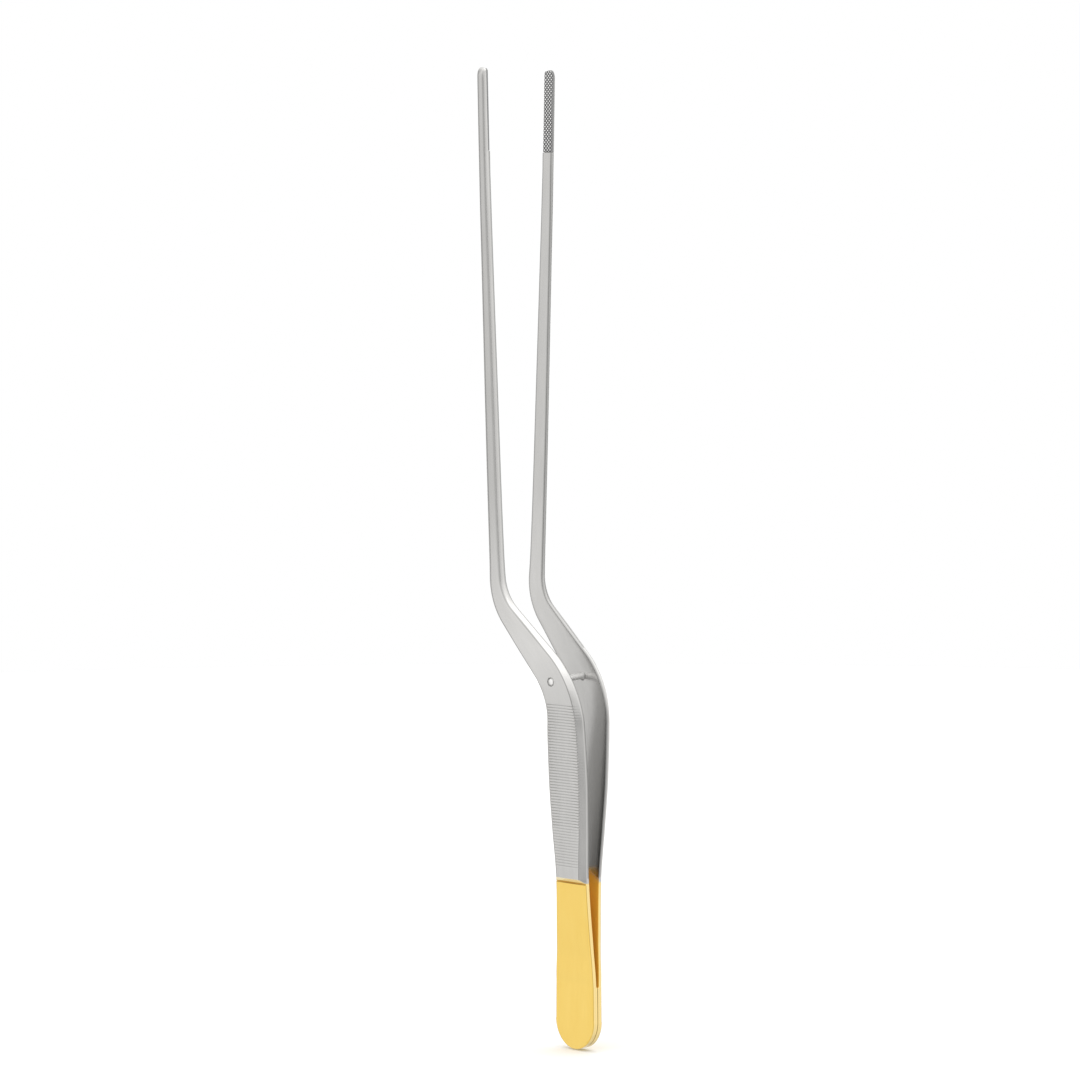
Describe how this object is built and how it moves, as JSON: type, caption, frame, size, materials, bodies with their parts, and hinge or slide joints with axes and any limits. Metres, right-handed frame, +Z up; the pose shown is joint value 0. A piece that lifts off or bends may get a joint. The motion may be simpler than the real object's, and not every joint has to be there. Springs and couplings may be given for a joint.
{
  "type": "bayonet tweezers",
  "caption": "Long sprung steel tweezers with a bayonet offset, grooved grips, a gold-plated handle end, hard jaw inserts and a guide pin.",
  "frame": {"origin": "middle of the handle end's lower edge, on the plane where the two arms meet", "axes": "+Z up along the arms to the jaws; +Y across the gap, from the left arm to the right arm; +X from the offset shanks towards the grips' axis"},
  "size_m": [0.0313, 0.0264, 0.25],
  "materials": {
    "stainless_steel": "satin to polished stainless steel",
    "gold_plate": "polished gold plating over stainless steel",
    "jaw_carbide": "matt dark grey hard metal, cross-cut teeth"
  },
  "bodies": {
    "handle_end": {"left_handle_end": "gold_plate", "right_handle_end": "gold_plate"},
    "left_arm": {"left_spring_leaf": "gold_plate", "left_arm": "stainless_steel", "left_jaw_insert": "jaw_carbide", "guide_pin": "stainless_steel"},
    "right_arm": {"right_spring_leaf": "gold_plate", "right_arm": "stainless_steel", "right_jaw_insert": "jaw_carbide"}
  },
  "joints": [
    {"name": "left_squeeze", "type": "hinge", "parent": "handle_end", "child": "left_arm", "pos_m": [0, -0.00157, 0.0296], "axis": [-1, 0, 0], "range_deg": [0, 2.94], "stiffness_Nm_per_rad": 2.5},
    {"name": "right_squeeze", "type": "hinge", "parent": "handle_end", "child": "right_arm", "pos_m": [0, 0.00157, 0.0296], "axis": [1, 0, 0], "range_deg": [0, 2.94], "stiffness_Nm_per_rad": 2.5}
  ],
  "couplings": [
    {"joint": "right_squeeze", "follows": "left_squeeze", "ratio": 1}
  ]
}
